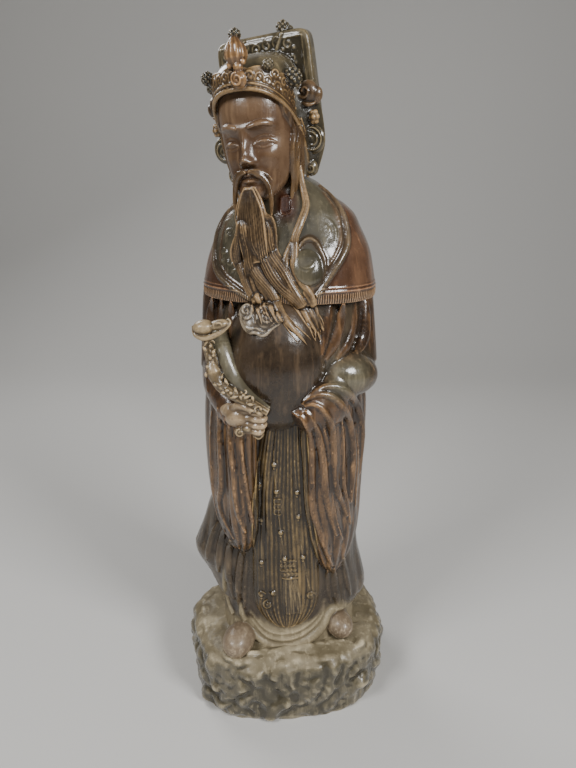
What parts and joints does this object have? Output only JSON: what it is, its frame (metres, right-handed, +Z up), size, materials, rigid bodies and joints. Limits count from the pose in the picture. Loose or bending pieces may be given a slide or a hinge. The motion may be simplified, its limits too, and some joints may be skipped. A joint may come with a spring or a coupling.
{
  "type": "ceramic immortal figure",
  "caption": "Standing bearded immortal in crown, fringed cape and long robe, holding a cloud-headed sceptre, on a rock base, one glazed ceramic piece.",
  "frame": {"origin": "middle of the rock base's flat underside, which rests on the floor", "axes": "+Z up along the standing figure; the figure's front faces -Y; +X is the viewer's right as one faces the figure"},
  "size_m": [0.2557, 0.2095, 0.7534],
  "materials": {
    "glaze": "glossy, dark brown breaking to amber on edges, paler and thinner on the rock"
  },
  "bodies": {
    "root": {"immortal_figure": "glaze"}
  },
  "joints": []
}
